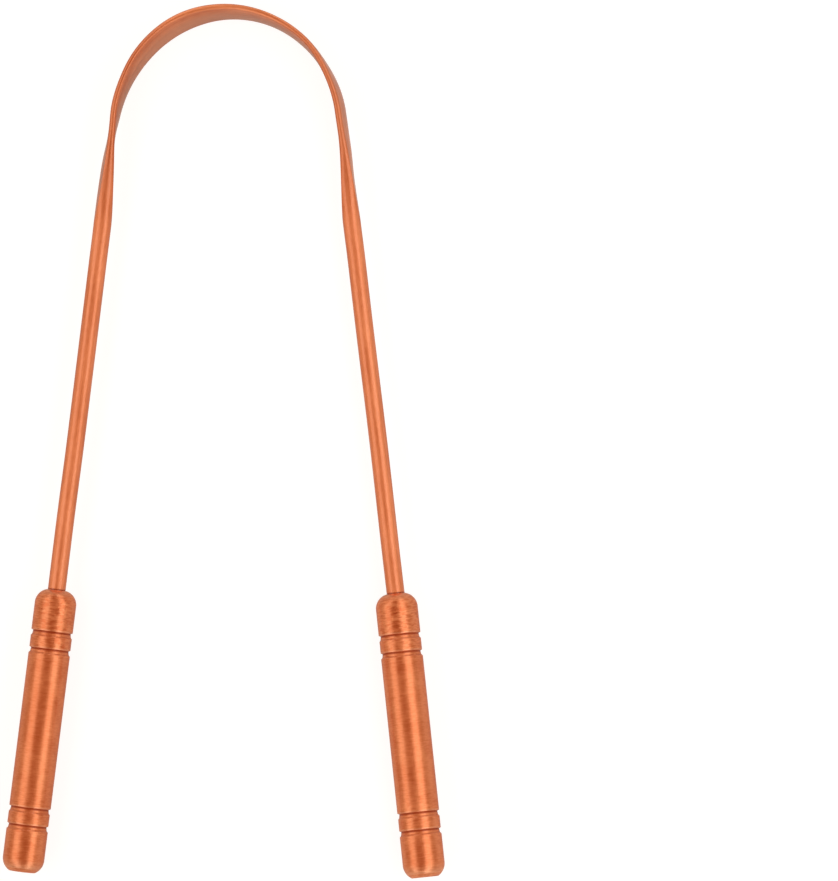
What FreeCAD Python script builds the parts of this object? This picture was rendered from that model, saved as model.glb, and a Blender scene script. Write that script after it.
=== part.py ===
import FreeCAD, Part
import math
import os
from FreeCAD import Vector

# Copper tongue scraper in three pieces: one bent rod and two turned grips, in millimetres.
# It lies flat, with +Y towards the crown of the band and +Z up from the surface under it.
# The origin is on that surface, under the middle of the outline.

# Overall size and stock
overall_length = 146.0
rod_diameter = 3.0
grip_diameter = 7.0

# Centreline of the bent rod: a round arch with straight arms that splay apart
arch_radius = 19.2
arm_splay = math.radians(6.95)

# Rolled band: fullest in the middle of its width, with rounded edges
band_width = 7.0
band_thickness = 1.3
band_edge_depth = 0.34
band_face_camber = 0.2

# The band's upper edge leans outwards round the crown, and the band stands upright again towards the necks
band_lean = math.radians(10.8)
lean_fade_start = 8.0
lean_fade_end = 25.0

# Necks, where the centreline swells outwards below the arch
neck_swell = 0.35
neck_distance = 34.0
neck_reach = 12.0

# Where the band changes back to round rod, as distances along the centreline from the crown
width_taper_start = 16.5
thickness_taper_start = 31.8
round_rod_start = 46.4
taper_sections = 24

# The thickness eases into a straight wedge, whose flats run out at a slight corner on the round rod
wedge_ease = 1.3

# Turned grip, from its head to its tail
head_length = 6.75
body_length = 25.8
tail_length = 7.0
head_dome_height = 2.4
tail_round_height = 2.25
tail_face_radius = 2.2

# Ring between two grooves, near each end of the grip
groove_depth = 0.33
groove_floor = 0.44
groove_flank = 0.28
ring_length = 1.94
ring_drop = 0.03

# Blind bore in the head, which holds the end of the rod
bore_clearance = 0.01
bore_depth = 14.0
drill_point_half_angle = math.radians(59)

# Derived sizes
rod_radius = rod_diameter / 2
grip_radius = grip_diameter / 2
bore_radius = rod_radius + bore_clearance
plane_height = grip_radius
half_length = overall_length / 2
crown_corner_thickness = band_thickness / 2 - band_face_camber
crown_corner_width = band_width / 2 - band_edge_depth
crown_reach = crown_corner_thickness * math.cos(band_lean) + crown_corner_width * math.sin(band_lean)
arch_centre_y = half_length - crown_reach - arch_radius
arc_half_angle = math.pi / 2 - arm_splay
arc_half_length = arch_radius * arc_half_angle
groove_mouth = groove_floor + 2 * groove_flank
ring_zone = ring_length + 2 * groove_mouth
grip_length = head_length + body_length + tail_length + 2 * ring_zone

# Arm length from the arch to the grip's end, which puts the rim of the end face at -half_length
arm_start_y = arch_centre_y + arch_radius * math.sin(arm_splay)
rim_drop = tail_face_radius * math.sin(arm_splay)
arm_reach = (arm_start_y + half_length - rim_drop) / math.cos(arm_splay)
grip_start = arc_half_length + arm_reach - grip_length
rod_end = grip_start + bore_depth


def share_between(distance, start, end):
    return min(max((distance - start) / (end - start), 0.0), 1.0)


def eased(share):
    return share ** 2 * (3 - 2 * share)


def arm_direction(side):
    return Vector(side * math.sin(arm_splay), -math.cos(arm_splay), 0)


def centreline(distance, side):
    """Point and outward normal on one side of the U, at a distance from the crown."""
    angle = min(distance / arch_radius, arc_half_angle)
    normal = Vector(side * math.sin(angle), math.cos(angle), 0)
    neck_share = max(1 - abs(distance - neck_distance) / neck_reach, 0.0)
    point = Vector(0, arch_centre_y, plane_height) + normal * (arch_radius + neck_swell * eased(neck_share))
    beyond_arc = max(distance - arc_half_length, 0.0)
    return point + arm_direction(side) * beyond_arc, normal


def rod_section(distance, side):
    """Closed outline of the rod: two faces and two rounded edges, each one arc."""
    narrowing = eased(share_between(distance, width_taper_start, round_rod_start))
    thickening = share_between(distance, thickness_taper_start, round_rod_start) ** wedge_ease
    lean = band_lean * (1 - eased(share_between(distance, lean_fade_start, lean_fade_end)))
    half_width = band_width / 2 + narrowing * (rod_radius - band_width / 2)
    half_thickness = band_thickness / 2 + thickening * (rod_radius - band_thickness / 2)
    round_inset = rod_radius * (1 - math.sqrt(0.5))
    edge_inset = band_edge_depth + thickening * (round_inset - band_edge_depth)
    face_camber = band_face_camber * (1 - narrowing) + round_inset * thickening
    corner_width = half_width - edge_inset
    corner_thickness = half_thickness - face_camber
    point, normal = centreline(distance, side)

    def place(thickness, width):
        outward = thickness * math.cos(lean) + width * math.sin(lean)
        upward = width * math.cos(lean) - thickness * math.sin(lean)
        return point + normal * outward + Vector(0, 0, upward)

    outer_low = place(corner_thickness, -corner_width)
    outer_high = place(corner_thickness, corner_width)
    inner_high = place(-corner_thickness, corner_width)
    inner_low = place(-corner_thickness, -corner_width)
    arcs = [
        Part.Arc(outer_low, place(half_thickness, 0), outer_high),
        Part.Arc(outer_high, place(0, half_width), inner_high),
        Part.Arc(inner_high, place(-half_thickness, 0), inner_low),
        Part.Arc(inner_low, place(0, -half_width), outer_low),
    ]
    return Part.Wire([arc.toShape() for arc in arcs])


def crown_band():
    """Part of the arch where the band keeps its full section and lean."""
    sweep = math.degrees(2 * lean_fade_start / arch_radius)
    section = Part.Face(rod_section(lean_fade_start, 1))
    return section.revolve(Vector(0, arch_centre_y, 0), Vector(0, 0, 1), sweep)


def tapered_flank(side):
    """Stretch where the band stands up, narrows, thickens and becomes round rod again."""
    step = (round_rod_start - lean_fade_start) / (taper_sections - 1)
    sections = [rod_section(lean_fade_start + step * i, side) for i in range(taper_sections)]
    return Part.makeLoft(sections, True, False)


def round_arm(side):
    """Straight round arm, down to its cut end inside the grip."""
    section = Part.Face(rod_section(round_rod_start, side))
    return section.extrude(arm_direction(side) * (rod_end - round_rod_start))


def scraper_loop():
    pieces = [shape(side) for shape in (tapered_flank, round_arm) for side in (-1, 1)]
    return crown_band().fuse(pieces).removeSplitter().Solids[0]


def profile_point(radius, distance):
    return Vector(radius, 0, distance)


def groove_moves(start, far_radius):
    """Outline down one flank of a groove, along its floor and up to the next surface."""
    floor_radius = grip_radius - groove_depth
    floor_start = start + groove_flank
    return [
        [(floor_radius, floor_start)],
        [(floor_radius, floor_start + groove_floor)],
        [(far_radius, start + groove_mouth)],
    ]


def ring_moves(start):
    """Outline across one zone: groove, ring, groove. Each move is a list of points to pass."""
    ring_radius = grip_radius - ring_drop
    ring_end = start + groove_mouth + ring_length
    to_groove = [[(grip_radius, start)]]
    over_ring = [[(ring_radius, ring_end)]]
    return to_groove + groove_moves(start, ring_radius) + over_ring + groove_moves(ring_end, grip_radius)


def halfway_round(face_radius, height):
    """Halfway point, as radius and distance from the end, of an arc that flows into the side."""
    inset = grip_radius - face_radius
    arc_radius = (height ** 2 + inset ** 2) / (2 * inset)
    half_turn = math.asin(height / arc_radius) / 2
    return grip_radius - arc_radius * (1 - math.cos(half_turn)), height - arc_radius * math.sin(half_turn)


def grip_moves():
    """Outline of the grip from the mouth of its bore, over the outside, and back up the bore."""
    drill_point = bore_depth + bore_radius / math.tan(drill_point_half_angle)
    tail_mid_radius, tail_mid_distance = halfway_round(tail_face_radius, tail_round_height)
    head = [[halfway_round(bore_radius, head_dome_height), (grip_radius, head_dome_height)]]
    tail = [
        [(grip_radius, grip_length - tail_round_height)],
        [(tail_mid_radius, grip_length - tail_mid_distance), (tail_face_radius, grip_length)],
        [(0, grip_length)],
    ]
    bore = [[(0, drill_point)], [(bore_radius, bore_depth)], [(bore_radius, 0)]]
    first_ring = head_length
    second_ring = head_length + ring_zone + body_length
    return head + ring_moves(first_ring) + ring_moves(second_ring) + tail + bore


def turned_grip(side):
    pen = profile_point(bore_radius, 0)
    edges = []
    for move in grip_moves():
        stops = [profile_point(*stop) for stop in move]
        curve = Part.Arc(pen, *stops) if len(stops) == 2 else Part.LineSegment(pen, stops[0])
        edges.append(curve.toShape())
        pen = stops[-1]
    grip = Part.Face(Part.Wire(edges)).revolve(Vector(0, 0, 0), Vector(0, 0, 1), 360)
    head_point = centreline(grip_start, side)[0]
    turn = FreeCAD.Rotation(Vector(0, 0, 1), arm_direction(side))
    grip.Placement = FreeCAD.Placement(head_point, turn)
    return grip


nodes = {
    "scraper_loop": scraper_loop(),
    "left_handle": turned_grip(-1),
    "right_handle": turned_grip(1),
}
os.makedirs("parts", exist_ok=True)
for name, shape in nodes.items():
    shape.exportStep(f"parts/{name}.step")
    print(name, shape.ShapeType, "valid" if shape.isValid() else "not valid", round(shape.Volume, 1), "mm3")
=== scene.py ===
import math

import bpy
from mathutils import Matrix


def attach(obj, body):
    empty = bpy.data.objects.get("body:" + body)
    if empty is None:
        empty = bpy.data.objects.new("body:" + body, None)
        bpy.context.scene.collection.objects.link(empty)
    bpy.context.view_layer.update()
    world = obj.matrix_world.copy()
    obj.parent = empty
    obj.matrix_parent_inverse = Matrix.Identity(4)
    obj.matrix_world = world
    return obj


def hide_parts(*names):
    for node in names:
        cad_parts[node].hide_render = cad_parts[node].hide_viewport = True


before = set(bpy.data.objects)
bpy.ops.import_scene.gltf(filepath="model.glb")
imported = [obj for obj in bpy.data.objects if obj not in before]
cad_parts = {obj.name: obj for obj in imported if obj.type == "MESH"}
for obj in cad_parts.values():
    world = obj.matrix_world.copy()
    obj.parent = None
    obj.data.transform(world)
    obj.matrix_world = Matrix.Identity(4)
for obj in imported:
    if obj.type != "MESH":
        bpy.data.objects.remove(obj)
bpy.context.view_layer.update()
mm = 0.001
print("frame loaded:", ", ".join(sorted(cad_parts)))


# small helpers shared by the pieces

def nameIt(name):
    piece = bpy.context.active_object
    piece.name = name
    piece.data.name = name
    return piece


def applyModifier(piece, kind, settings):
    mod = piece.modifiers.new(kind.lower(), kind)
    for key, value in settings.items():
        setattr(mod, key, value)
    bpy.ops.object.modifier_apply(modifier=mod.name)


# one number per point, for the finish to read
def keepNumbers(piece, name, values):
    piece.data.attributes.new(name, "FLOAT", "POINT").data.foreach_set("value", values)


# the shape before it is bent or set in place, so that the grain follows the metal
def keepRestPlace(piece, slide):
    place = piece.data.attributes.new("restPlace", "FLOAT_VECTOR", "POINT")
    place.data.foreach_set("vector", [c + s * mm for v in piece.data.vertices for c, s in zip(v.co, slide)])


def closeShell():
    bpy.ops.mesh.select_all(action="SELECT")
    bpy.ops.mesh.fill_holes(sides=0)
    bpy.ops.mesh.normals_make_consistent(inside=False)
    bpy.ops.object.mode_set(mode="OBJECT")


# ring by ring along one axis, each stop is (distance along the axis, radius)
def extrudeRings(stops, axis):
    bpy.ops.object.mode_set(mode="EDIT")
    bpy.ops.mesh.select_all(action="SELECT")
    for (before, wide), (after, narrow) in zip(stops, stops[1:]):
        step = [(after - before) * mm if i == axis else 0 for i in range(3)]
        here = [after * mm if i == axis else 0 for i in range(3)]
        grow = [1 if i == axis else narrow / wide for i in range(3)]
        bpy.ops.mesh.extrude_region_move(TRANSFORM_OT_translate={"value": step})
        if narrow != wide:
            bpy.ops.transform.resize(value=grow, center_override=here)


def evenSteps(start, end, count):
    return [start + (end - start) * i / count for i in range(count)]


def share(value, start, end):
    return min(max((value - start) / (end - start), 0), 1)


def ease(x):
    return x * x * (3 - 2 * x)


# a run through (place, value) pairs
def readOff(pairs, place):
    if place <= pairs[0][0]:
        return pairs[0][1]
    for (a, low), (b, high) in zip(pairs, pairs[1:]):
        if place <= b:
            return low + (high - low) * share(place, a, b)
    return pairs[-1][1]


# the same as one smooth curve, level at both ends
def readCurve(pairs, place):
    inner = [(after[1] - before[1]) / (after[0] - before[0]) for before, after in zip(pairs, pairs[2:])]
    slopes = [0] + inner + [0]
    for (a, low), (b, high), leaving, arriving in zip(pairs, pairs[1:], slopes, slopes[1:]):
        if place <= b:
            break
    part = share(place, a, b)
    bow = part * (1 - part) * (b - a)
    return low + (high - low) * ease(part) + bow * ((1 - part) * leaving - part * arriving)


# scraper loop: one round rod, rolled flat in its middle, then bent into a U
# distances are from the crown, along the rod

loop = {
    "around": 64,
    "rodRadius": 1.5,
    "bandHalfWidth": 3.5,
    "bandHalfThickness": 0.65,
    "bandCamber": 0.2,
    "bandEdge": 0.34,
    "narrowFrom": 16.5,
    "thickenFrom": 31.8,
    "roundFrom": 46.4,
    "evenFrom": 75.0,
    "rodEnd": 123.169,
    "headTop": {-1: 108.507, 1: 109.169},
    "wedgeEase": 1.3,
    "tongueTip": math.radians(6),
    "archRadius": 19.2,
    "crownY": 71.966,
    "splay": math.radians(6.95),
    "height": 3.5,
    "pathSteps": 200,
    # rings of points along each half of the rod, closest at the shoulder and where the rod enters its grip
    "bandRings": 50,
    "taperRings": 70,
    "shoulder": 2,
    "shoulderRings": 12,
    "armRings": 36,
    "entryAbove": 0.5,
    "entryBelow": 0.1,
    "entryRings": 6,
    # hand bending, with the left arm at negative distances: degrees that the upper edge leans outwards
    "lean": [(-64, 0), (-46, -20.5), (-40, -21.5), (-36, -20), (-32, -13), (-28, -4.2), (-22, 1.7),
             (-16, 8.3), (-8, 12.8), (0, 10.8), (8, 9.2), (16, 8.6), (22, 1.7), (28, -0.3), (34, -0.2),
             (40, 4.4), (46, 3.9), (52, 0)],
    # and mm that the rod is pushed outwards
    "push": [(-109, 0.1), (-96, 0.1), (-84, 0), (-52, 0), (-46, 0.01), (-40, 0.22), (-34, 0.36), (-28, 0.12),
             (-22, -0.16), (-16, -0.13), (-8, 0.03), (0, 0.08), (8, 0.04), (16, 0.02), (22, 0.05), (28, 0.22),
             (34, 0.33), (40, 0.09), (46, -0.05), (52, 0), (64, 0), (84, 0.08), (104, 0)],
    # painted light, by distance from the crown: painted shade on the upper edge, painted highlight on the
    # outer face and a painted reflection on the inner face
    "paintedShade": [(8, 0), (13, 0.35), (38, 0.3), (46, 0)],
    "paintedHighlight": [(10, 0), (17, 0.12), (42, 0.12), (48, 0)],
    "paintedReflection": [(30, 0.7), (44, 0)],
    "paintedReflectionHeight": [(-0.2, 1), (0.8, 0)],    # up the inner face, from -1 to 1
    "paintedReflectionTurn": (0.2, 0.6),    # from an edge towards the middle of the inner face
    "edgeSoft": 0.1,
    "headPaintedShade": 0.3,    # painted shade just above the grip, in mm
}


# where the metal at this angle of the round rod goes when it is rolled, as (outwards, upwards)
def rolledPoint(fromCrown, angle):
    radius = loop["rodRadius"]
    quarter = math.pi / 4
    top = 1 if angle > 0 else -1
    swung = abs(angle)
    onFace = swung < quarter or swung > 3 * quarter
    side = 1 if swung < 2 * quarter else -1
    if onFace:
        across = math.sin((swung if side > 0 else math.pi - swung) / quarter * math.pi / 2)
    else:
        along = math.sin((swung - 2 * quarter) / quarter * math.pi / 2)
    if fromCrown >= loop["roundFrom"]:
        tip = loop["tongueTip"]
        spread = tip + share(fromCrown, loop["roundFrom"], loop["evenFrom"]) * (quarter - tip)
        if onFace:
            bend = across * spread
            return side * radius * math.cos(bend), top * radius * math.sin(bend)
        bend = along * (math.pi / 2 - spread)
        return -radius * math.sin(bend), top * radius * math.cos(bend)
    thick = share(fromCrown, loop["thickenFrom"], loop["roundFrom"]) ** loop["wedgeEase"]
    narrow = ease(share(fromCrown, loop["narrowFrom"], loop["roundFrom"]))
    halfThick = loop["bandHalfThickness"] + thick * (radius - loop["bandHalfThickness"])
    halfWide = loop["bandHalfWidth"] + narrow * (radius - loop["bandHalfWidth"])
    clipped = halfWide - math.sqrt(max(halfWide ** 2 - halfThick ** 2, 0))
    edge = loop["bandEdge"] + ease(thick) * (clipped - loop["bandEdge"])
    faceHalf = max(halfWide - edge, radius * math.sin(loop["tongueTip"]))
    edge = halfWide - faceHalf
    camber = loop["bandCamber"] * (1 - thick) * (1 - narrow)
    if onFace:
        return side * (halfThick - camber * across ** 2), top * faceHalf * across
    corner = halfThick - camber
    edgeRadius = (corner ** 2 + edge ** 2) / (2 * edge)
    bend = along * 2 * math.atan2(edge, corner)
    return -edgeRadius * math.sin(bend), top * (halfWide - edgeRadius + edgeRadius * math.cos(bend))


# (painted shade, painted highlight, painted reflection) of the metal at this angle: 0 on the outer face, a
# quarter turn on the upper edge
def bandPaintedLight(fromCrown, angle):
    outer, upper = math.cos(angle), math.sin(angle)
    edge = math.sqrt(0.5)    # where the faces end
    low, high = edge - loop["edgeSoft"], edge + loop["edgeSoft"]
    paintedShade = readOff(loop["paintedShade"], fromCrown) * ease(share(upper, low, high))
    paintedHighlight = readOff(loop["paintedHighlight"], fromCrown) * ease(share(outer, low, high))
    inside = ease(share(-outer, *loop["paintedReflectionTurn"])) * ease(readOff(loop["paintedReflectionHeight"], upper / edge))
    return paintedShade, paintedHighlight, readOff(loop["paintedReflection"], fromCrown) * inside


def handBent(along, outwards, upwards):
    lean = math.radians(readCurve(loop["lean"], along))
    leant = outwards * math.cos(lean) + upwards * math.sin(lean)
    return leant + readCurve(loop["push"], along), upwards * math.cos(lean) - outwards * math.sin(lean)


def bendingPath():
    bpy.ops.object.select_all(action="DESELECT")
    bpy.ops.curve.primitive_bezier_curve_add()
    path = nameIt("bendingPath")
    path.data.dimensions = "2D"
    path.data.resolution_u = loop["pathSteps"]
    splay, radius = loop["splay"], loop["archRadius"]
    centreY = loop["crownY"] - radius
    sweep = math.pi / 2 - splay
    reach = loop["rodEnd"] - radius * sweep
    pull = 4 / 3 * math.tan(sweep / 4) * radius    # handle length for a round arc
    points = []
    for side in (-1, 1):
        way = (side * math.sin(splay), -math.cos(splay))
        joint = (side * radius * math.cos(splay), centreY + radius * math.sin(splay))
        tip = (joint[0] + way[0] * reach, joint[1] + way[1] * reach)
        armward = (joint[0] + way[0] * reach / 3, joint[1] + way[1] * reach / 3)
        crownward = (joint[0] - way[0] * pull, joint[1] - way[1] * pull)
        nearTip = (tip[0] - way[0] * reach / 3, tip[1] - way[1] * reach / 3)
        stops = [(tip, tip, nearTip), (joint, armward, crownward)]
        points += stops if side < 0 else [(p, b, a) for p, a, b in reversed(stops)]
    points.insert(2, ((0, loop["crownY"]), (-pull, loop["crownY"]), (pull, loop["crownY"])))
    spline = path.data.splines[0]
    spline.bezier_points.add(len(points) - len(spline.bezier_points))
    for knot, (place, left, right) in zip(spline.bezier_points, points):
        knot.handle_left_type = knot.handle_right_type = "FREE"
        knot.co = [c * mm for c in place] + [0]
        knot.handle_left = [c * mm for c in left] + [0]
        knot.handle_right = [c * mm for c in right] + [0]
    return path


def buildLoop():
    end, radius, roundFrom = loop["rodEnd"], loop["rodRadius"], loop["roundFrom"]
    shoulder = roundFrom - loop["shoulder"]
    stops = []
    for side, head in loop["headTop"].items():
        entry, inside = head - loop["entryAbove"], head + loop["entryBelow"]
        half = evenSteps(0, loop["narrowFrom"], loop["bandRings"])
        half += evenSteps(loop["narrowFrom"], shoulder, loop["taperRings"])
        half += evenSteps(shoulder, roundFrom, loop["shoulderRings"])
        half += evenSteps(roundFrom, entry, loop["armRings"])
        half += evenSteps(entry, inside, loop["entryRings"]) + [inside, end]
        stops += [(end + side * s, radius) for s in (reversed(half) if side < 0 else half[1:])]
    path = bendingPath()
    bpy.ops.object.select_all(action="DESELECT")
    bpy.ops.mesh.primitive_circle_add(vertices=loop["around"], radius=radius * mm,
                                      rotation=(0, math.pi / 2, 0))
    piece = nameIt("scraperLoop")
    bpy.ops.object.transform_apply(location=True, rotation=True, scale=True)
    extrudeRings(stops, 0)
    closeShell()
    keepRestPlace(piece, (0, 0, 0))
    places = [v.co.x / mm - end for v in piece.data.vertices]
    heads = [loop["headTop"][-1 if s < 0 else 1] for s in places]
    paintedLight = [bandPaintedLight(abs(s), math.atan2(v.co.z, v.co.y)) for v, s in zip(piece.data.vertices, places)]
    # painted shade on the rod where it enters its grip
    atHead = [ease(share(abs(s), head - loop["headPaintedShade"], head)) for s, head in zip(places, heads)]
    keepNumbers(piece, "paintedShade", [max(dark, w[0]) for dark, w in zip(atHead, paintedLight)])
    keepNumbers(piece, "paintedHighlight", [w[1] for w in paintedLight])
    keepNumbers(piece, "paintedReflection", [w[2] for w in paintedLight])
    rolled = [1 - ease(share(abs(s), loop["thickenFrom"], roundFrom)) for s in places]
    keepNumbers(piece, "rolled", rolled)
    for vert, s in zip(piece.data.vertices, places):
        flat = rolledPoint(abs(s), math.atan2(vert.co.z, vert.co.y))
        outwards, upwards = handBent(s, *flat)
        vert.co.y = outwards * mm
        vert.co.z = (upwards + loop["height"]) * mm
    applyModifier(piece, "CURVE", {"object": path, "deform_axis": "POS_X"})
    bpy.data.objects.remove(path)
    bpy.ops.object.shade_smooth()
    return piece


# turned grip, with distances from the top of its head

grip = {
    "around": 128,
    "radius": 3.5,
    "length": 47.43,
    "headEnd": 6.75,
    "bodyStart": 10.69,
    "bodyEnd": 36.49,
    "tailStart": 40.43,
    "ringRadius": 3.47,
    "grooveMouth": 1.0,
    "grooveRadius": 3.17,
    "grooveRise": 0.1,    # the floor climbs towards the tail
    "upperWall": 0.16,
    "lowerWall": 0.24,
    "headDome": 2.4,
    "tailRound": 2.25,
    "tailFace": 2.2,
    "boreRadius": 1.51,
    "mouthRadius": 1.56,
    "mouthDepth": 0.06,
    "boreDepth": 14.0,
    "drillPoint": 14.9,
    "drillTip": 0.02,    # before it is drawn together to a point
    "edgeBreak": 0.03,    # less than half the mouth, or the two breaks meet there
    "breakSteps": 2,
    "breakAbove": math.radians(20),
    "smoothBelow": math.radians(40),
    # rings of points along the grip, and beside a groove in mm
    "roundRings": 24,
    "headRings": 4,
    "bodyRings": 16,
    "tailRings": 4,
    "floorRings": 4,
    "plainEnd": 0.5,
    "lipRings": (0.3, 0.14, 0),
    "afterGroove": 0.15,
    # the left grip is pressed further up its rod, has a longer head, and the right one sits slightly askew
    "headTop": {-1: (-28.8445, -25.1938, 3.5), 1: (28.84, -25.6523, 3.5)},
    "headLonger": {-1: 0.2, 1: 0},
    "splay": {-1: 7.05, 1: 6.24},
    # how strongly the tool and the brush have marked the metal
    "worked": [(0, 1), (6.7, 1), (7, 0.85), (10.5, 0.85), (11.2, 0.35), (33, 0.35), (36.2, 0.6), (40, 0.6),
               (42, 0.4), (45.5, 0.45), (47.5, 0.9)],
    # painted shade in the corners of a groove, from its upper edge
    "paintedShade": [(0.02, 0), (0.1, 0.8), (0.25, 1), (0.42, 0.1), (0.62, 0), (0.77, 0.3), (0.95, 0.1), (1.02, 0)],
    # painted highlight, on the edge over a groove, by radius on the dome, and from the tail's end
    "paintedEdgeHighlight": [(-0.3, 0), (-0.12, 0.25), (0, 0.25), (0.05, 0)],
    "paintedDomeHighlight": [(1.5, 0.7), (1.8, 0.7), (2.0, 0.35), (2.6, 0.15), (3.2, 0)],
    "paintedTailHighlight": [(0, 0.05), (0.4, 0.1), (0.55, 0), (0.62, 0.25), (0.8, 0.25), (1.4, 0.12), (2.2, 0)],
}


# groove from its upper to its lower edge
def grooveStops(start, above, below):
    end = start + grip["grooveMouth"]
    deep, rise = grip["grooveRadius"], grip["grooveRise"]
    floorStart, floorEnd = start + grip["upperWall"], end - grip["lowerWall"]
    lip = [(start - before, above) for before in grip["lipRings"]]
    places = evenSteps(floorStart, floorEnd, grip["floorRings"])
    floor = [(s, deep + rise * share(s, floorStart, floorEnd)) for s in places]
    return lip + floor + [(floorEnd, deep + rise), (end, below), (end + grip["afterGroove"], below)]


# arc from the side to an end face, as (distance from that end, radius)
def endRound(faceRadius, height):
    wide, count = grip["radius"], grip["roundRings"]
    inset = wide - faceRadius
    bend = (height ** 2 + inset ** 2) / (2 * inset)
    turns = [math.asin(height / bend) * i / count for i in range(count + 1)]
    return [(height - bend * math.sin(a), wide - bend + bend * math.cos(a)) for a in turns]


def gripStops(side):
    wide, ring, mouth = grip["radius"], grip["ringRadius"], grip["grooveMouth"]
    dome, tail, length = grip["headDome"], grip["tailRound"], grip["length"]
    top = -grip["headLonger"][side]
    headPlain, bodyPlain = grip["headEnd"] - grip["plainEnd"], grip["bodyEnd"] - grip["plainEnd"]
    stops = [(top + d, r) for d, r in reversed(endRound(grip["mouthRadius"], dome))]
    stops += [(s, wide) for s in evenSteps(top + dome, headPlain, grip["headRings"])[1:]]
    stops += grooveStops(grip["headEnd"], wide, ring)
    stops += grooveStops(grip["bodyStart"] - mouth, ring, wide)
    stops += [(s, wide) for s in evenSteps(grip["bodyStart"], bodyPlain, grip["bodyRings"])[1:]]
    stops += grooveStops(grip["bodyEnd"], wide, ring)
    stops += grooveStops(grip["tailStart"] - mouth, ring, wide)
    stops += [(s, wide) for s in evenSteps(grip["tailStart"], length - tail, grip["tailRings"])[1:]]
    stops += [(length - d, r) for d, r in endRound(grip["tailFace"], tail)]
    bore = [
        (grip["drillPoint"], grip["drillTip"]),
        (grip["boreDepth"], grip["boreRadius"]),
        (top + grip["mouthDepth"], grip["boreRadius"]),
    ]
    return [(-d, r) for d, r in reversed(bore + stops)]


# strongest reading of a list over the four grooves
def atGrooves(pairs, distance):
    mouth = grip["grooveMouth"]
    starts = grip["headEnd"], grip["bodyStart"] - mouth, grip["bodyEnd"], grip["tailStart"] - mouth
    return max(readOff(pairs, distance - start) for start in starts)


# painted shade in the grooves and round the bore's mouth, where the rod enters the grip
def gripPaintedShade(distance, radius):
    mouth = 1 - share(radius, grip["boreRadius"], grip["mouthRadius"])
    return max(atGrooves(grip["paintedShade"], distance), mouth)


# painted highlight over the grooves, on the dome round the rod and at the tail
def gripPaintedHighlight(distance, radius):
    highlightPainted = atGrooves(grip["paintedEdgeHighlight"], distance)
    if distance < grip["headDome"]:
        highlightPainted = readOff(grip["paintedDomeHighlight"], radius)
    return max(highlightPainted, readOff(grip["paintedTailHighlight"], grip["length"] - distance))


def buildGrip(name, side, slide):
    stops = gripStops(side)
    bpy.ops.object.select_all(action="DESELECT")
    bpy.ops.mesh.primitive_circle_add(vertices=grip["around"], radius=stops[0][1] * mm,
                                      location=(0, 0, stops[0][0] * mm))
    piece = nameIt(name)
    bpy.ops.object.transform_apply(location=True, rotation=True, scale=True)
    extrudeRings(stops, 2)
    bpy.ops.mesh.merge(type="CENTER")    # the drill's point
    closeShell()
    applyModifier(piece, "BEVEL", {"width": grip["edgeBreak"] * mm, "segments": grip["breakSteps"],
                                   "limit_method": "ANGLE", "angle_limit": grip["breakAbove"]})
    keepRestPlace(piece, (0, 0, slide))
    places = [(-v.co.z / mm, math.hypot(v.co.x, v.co.y) / mm) for v in piece.data.vertices]
    keepNumbers(piece, "paintedShade", [gripPaintedShade(*place) for place in places])
    keepNumbers(piece, "paintedHighlight", [gripPaintedHighlight(*place) for place in places])
    keepNumbers(piece, "worked", [readOff(grip["worked"], distance) for distance, radius in places])
    bpy.ops.object.shade_smooth_by_angle(angle=grip["smoothBelow"])
    piece.rotation_euler = (-math.pi / 2, 0, side * math.radians(grip["splay"][side]))
    piece.location = [c * mm for c in grip["headTop"][side]]
    bpy.ops.object.transform_apply(location=True, rotation=True, scale=True)
    return piece


# node helpers: an input is a value, or another node's output

def feed(tree, socket, value):
    if isinstance(value, bpy.types.NodeSocket):
        tree.links.new(value, socket)
    else:
        socket.default_value = value


def addNode(tree, kind, inputs, **settings):
    made = tree.nodes.new("ShaderNode" + kind)
    for key, value in settings.items():
        setattr(made, key, value)
    for key, value in inputs.items():
        feed(tree, made.inputs[key], value)
    return made


def sums(tree, operation, *values):
    return addNode(tree, "Math", dict(enumerate(values)), operation=operation).outputs[0]


def blendColours(tree, factor, first, second):
    return addNode(tree, "Mix", {0: factor, 6: first, 7: second}, data_type="RGBA").outputs[2]


def readPoint(tree, name, output):
    return addNode(tree, "Attribute", {}, attribute_name=name).outputs[output]


# stretched noise, from 0 to 1, with stretch in features per mm
def grain(tree, place, stretch, detail, contrast=0.15):
    spread = addNode(tree, "Mapping", {"Vector": place, "Scale": [s / mm for s in stretch]}).outputs[0]
    noise = addNode(tree, "TexNoise", {"Vector": spread, "Scale": 1.0, "Detail": detail}).outputs[0]
    ends = {"Value": noise, "From Min": 0.5 - contrast, "From Max": 0.5 + contrast}
    return addNode(tree, "MapRange", ends).outputs[0]


# copper finishes

copper = {
    # painted shade colour and the extra roughness under it, then the painted highlight and painted reflection
    # colours
    "paintedShade": (0.4, 0.06, 0.014, 1),
    "paintedShadeRougher": 0.25,
    "paintedHighlight": (1.0, 0.68, 0.46, 1),
    "paintedReflection": (0.79, 0.425, 0.275, 1),
    "coatRoughness": 0.15,
}

# glancing is what is left of a reflection at a flat angle
# each mark has its features per mm, and weights for tone, roughness and height
# a local mark is only as strong as the numbers that the finish follows

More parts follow.
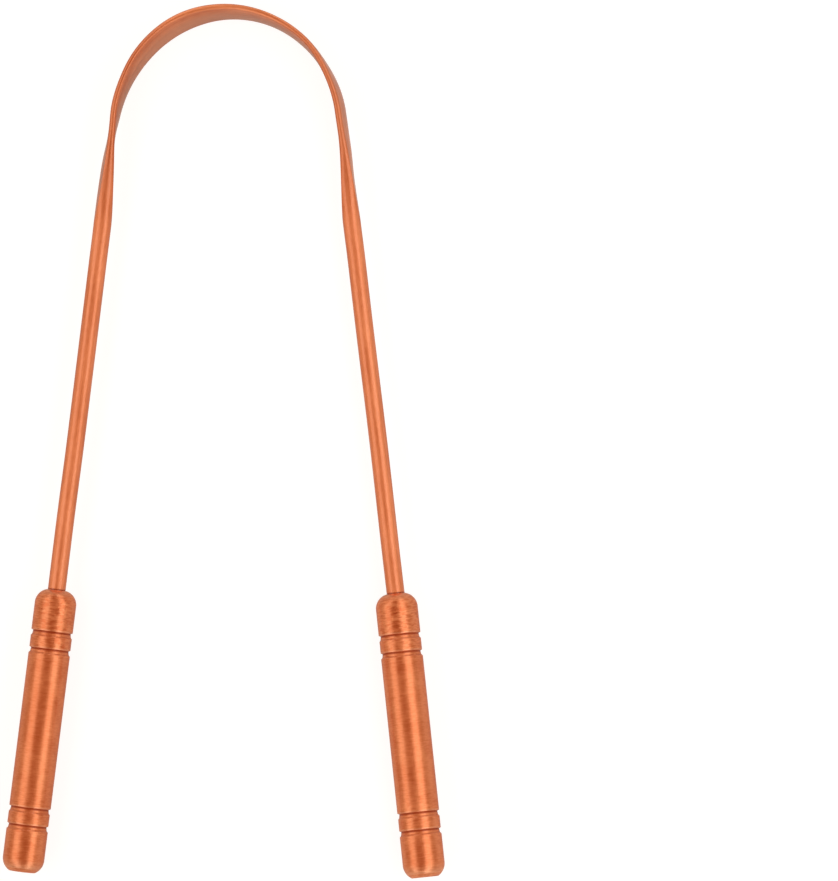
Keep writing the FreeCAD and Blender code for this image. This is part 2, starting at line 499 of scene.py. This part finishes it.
# lathe lines and short brush dashes round the axis
turned = {
    "glancing": (1.0, 0.8, 0.7, 1),
    "deep": (0.71, 0.184, 0.068, 1),
    "light": (0.9, 0.32, 0.145, 1),
    "coat": 0.35,
    "tone": 0.5,
    "roughness": 0.36,
    "smoother": 0,
    "depth": 0.010,    # of the marks, in mm
    "follows": "worked",
    "marks": {
        "dashes": {"stretch": (1.0, 1.0, 4.6), "detail": 2.0, "local": True,
                   "weights": {"tone": 1.15, "roughness": 0.12, "height": 2.2}},
        "strokes": {"stretch": (0.6, 0.6, 2.4), "detail": 1.0, "local": True,
                    "weights": {"tone": 0.35, "height": 1.7}},
        "rings": {"stretch": (0.1, 0.1, 2.4), "detail": 2.0, "local": False,
                  "weights": {"tone": 0.12, "height": 0.2}},
        "lathe": {"stretch": (0.12, 0.12, 14.0), "detail": 1.0, "local": False, "weights": {"height": 0.15}},
        "cloud": {"stretch": (0.45, 0.45, 0.3), "detail": 3.0, "local": False,
                  "weights": {"tone": 0.42, "roughness": 0.06}},
    },
}

# lines drawn along the rod, short nicks, and streaks where it is rolled
drawn = {
    "glancing": (0.55, 0.32, 0.24, 1),
    "deep": (0.72, 0.185, 0.065, 1),
    "light": (0.99, 0.385, 0.185, 1),
    "coat": 0.8,
    "tone": 0.6,
    "roughness": 0.53,
    "smoother": 0.13,    # where the rod is rolled
    "depth": 0.006,
    "follows": "rolled",
    "marks": {
        "streaks": {"stretch": (0.03, 1.7, 1.7), "detail": 2.0, "local": True,
                    "weights": {"tone": 0.6, "roughness": 0.15, "height": 0.6}},
        "lines": {"stretch": (0.05, 4.5, 4.5), "detail": 2.0, "local": False,
                  "weights": {"tone": 0.35, "roughness": 0.08, "height": 0.6}},
        "fine": {"stretch": (0.12, 13.0, 13.0), "detail": 1.0, "local": False,
                 "weights": {"tone": 0.15, "height": 0.3}},
        "nicks": {"stretch": (0.9, 6.0, 6.0), "detail": 2.0, "local": False,
                  "weights": {"tone": 0.2, "height": 0.3}},
        "cloud": {"stretch": (0.12, 0.5, 0.5), "detail": 3.0, "local": False,
                  "weights": {"tone": 0.35, "roughness": 0.08}},
    },
}


# tone, roughness and height of the metal with all the marks of its finish
def addMarks(tree, finish):
    place = readPoint(tree, "restPlace", "Vector")
    strength = readPoint(tree, finish["follows"], "Fac")
    level = sums(tree, "MULTIPLY_ADD", strength, -finish["smoother"], finish["roughness"])
    totals = {"tone": finish["tone"], "roughness": level, "height": 0}
    for mark in finish["marks"].values():
        centred = sums(tree, "SUBTRACT", grain(tree, place, mark["stretch"], mark["detail"]), 0.5)
        for use, weight in mark["weights"].items():
            weight = sums(tree, "MULTIPLY", strength, weight) if mark["local"] else weight
            totals[use] = sums(tree, "MULTIPLY_ADD", centred, weight, totals[use])
    return totals


def copperMaterial(name, finish):
    material = bpy.data.materials.new(name)
    material.use_nodes = True
    tree = material.node_tree
    shader = tree.nodes["Principled BSDF"]
    metal = addMarks(tree, finish)
    # painted shade, painted reflection and painted highlight are mixed into the metal's colour
    paintedShade = readPoint(tree, "paintedShade", "Fac")
    colour = blendColours(tree, metal["tone"], finish["deep"], finish["light"])
    reflectionPainted = blendColours(tree, readPoint(tree, "paintedReflection", "Fac"), colour, copper["paintedReflection"])
    highlightPainted = blendColours(tree, readPoint(tree, "paintedHighlight", "Fac"), reflectionPainted, copper["paintedHighlight"])
    feed(tree, shader.inputs["Base Color"], blendColours(tree, paintedShade, highlightPainted, copper["paintedShade"]))
    rougher = sums(tree, "MULTIPLY_ADD", paintedShade, copper["paintedShadeRougher"], metal["roughness"])
    feed(tree, shader.inputs["Roughness"], rougher)
    bump = addNode(tree, "Bump", {"Height": metal["height"], "Distance": finish["depth"] * mm, "Strength": 1})
    feed(tree, shader.inputs["Normal"], bump.outputs[0])
    shader.inputs["Metallic"].default_value = 1
    shader.inputs["Specular Tint"].default_value = finish["glancing"]
    shader.inputs["Coat Weight"].default_value = finish["coat"]
    shader.inputs["Coat Roughness"].default_value = copper["coatRoughness"]
    return material


drawnCopper = copperMaterial("drawnCopper", drawn)
turnedCopper = copperMaterial("turnedCopper", turned)
print("finishes made")

scraperLoop = buildLoop()
leftGrip = buildGrip("leftGrip", -1, 0)
rightGrip = buildGrip("rightGrip", 1, 100)
for piece, node, slot, material in (
    (scraperLoop, "scraper_loop", "drawn_copper", drawnCopper),
    (leftGrip, "left_handle", "turned_copper", turnedCopper),
    (rightGrip, "right_handle", "turned_copper", turnedCopper),
):
    piece.data.materials.append(material)
    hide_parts(node)
    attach(piece, "root")
    print("piece:", piece.name, len(piece.data.polygons), "faces")


# floor, light and camera

studio = {
    "floorSize": 3.0,
    "floorMatt": 0.69,
    "floorMattSeen": 0.3,    # the share of shading that the camera sees
    "floorWhiteSeen": 0.85,
    "floorWhiteMirrored": 0.11,
    "zenith": (0.46, 0.25, 0.135, 1),
    "horizon": (0.64, 0.55, 0.43, 1),
    "zenithFrom": 0.6,
    "lamps": {
        "leftSoftbox": {"angle": -41, "distance": 0.35, "across": 0.233, "along": 1.7, "power": 1.224},
        "rightSoftbox": {"angle": 46.5, "distance": 0.2, "across": 0.12, "along": 1.7, "power": 0.832},
    },
    "lampColour": (0.88, 1.0, 1.0),
    "eye": (239.029, -49.39, 1200.0),
    "turn": (2.349, 9.7745, 0.1511),
    "lens": 297.9,
    "sensor": 36,
    "clipStart": 0.01,
}


def buildFloor():
    bpy.ops.object.select_all(action="DESELECT")
    bpy.ops.mesh.primitive_plane_add(size=studio["floorSize"])
    floor = nameIt("floor")
    material = bpy.data.materials.new("paleFloor")
    material.use_nodes = True
    tree = material.node_tree
    tree.nodes.remove(tree.nodes["Principled BSDF"])
    rays = addNode(tree, "LightPath", {}).outputs
    mirrored = sums(tree, "MAXIMUM", rays["Is Glossy Ray"], rays["Is Transmission Ray"])
    glow = sums(tree, "MULTIPLY", mirrored, studio["floorWhiteMirrored"])
    strength = sums(tree, "MULTIPLY_ADD", rays["Is Camera Ray"], studio["floorWhiteSeen"], glow)
    shade = sums(tree, "MULTIPLY_ADD", rays["Is Camera Ray"], studio["floorMattSeen"] - studio["floorMatt"],
                 studio["floorMatt"])
    white = addNode(tree, "Emission", {"Strength": strength})
    matt = addNode(tree, "BsdfDiffuse", {"Color": shade})
    both = addNode(tree, "AddShader", {0: matt.outputs[0], 1: white.outputs[0]})
    feed(tree, tree.nodes["Material Output"].inputs["Surface"], both.outputs[0])
    floor.data.materials.append(material)


def buildLamps():
    for name, lamp in studio["lamps"].items():
        angle = math.radians(lamp["angle"])
        reach = lamp["distance"]
        bpy.ops.object.light_add(type="AREA", location=(reach * math.sin(angle), 0, reach * math.cos(angle)),
                                 rotation=(0, angle, 0))
        box = nameIt(name)
        box.data.shape = "RECTANGLE"
        box.data.size = lamp["across"]
        box.data.size_y = lamp["along"]
        box.data.energy = lamp["power"]
        box.data.color = studio["lampColour"]
        box.visible_camera = False


def buildWorld():
    world = bpy.data.worlds.new("studioAir")
    bpy.context.scene.world = world
    world.use_nodes = True
    tree = world.node_tree
    direction = addNode(tree, "TexCoord", {}).outputs["Generated"]
    upwards = addNode(tree, "SeparateXYZ", {0: direction}).outputs["Z"]
    height = addNode(tree, "MapRange", {"Value": upwards, "From Max": studio["zenithFrom"]}).outputs[0]
    air = blendColours(tree, height, studio["horizon"], studio["zenith"])
    feed(tree, tree.nodes["Background"].inputs["Color"], air)


def buildCamera():
    bpy.ops.object.camera_add(location=[c * mm for c in studio["eye"]],
                              rotation=[math.radians(a) for a in studio["turn"]])
    camera = nameIt("camera")
    camera.data.lens = studio["lens"]
    camera.data.sensor_width = studio["sensor"]
    camera.data.clip_start = studio["clipStart"]
    bpy.context.scene.camera = camera


buildFloor()
buildLamps()
buildWorld()
buildCamera()
bpy.context.scene.view_settings.view_transform = "Standard"
print("stage set")
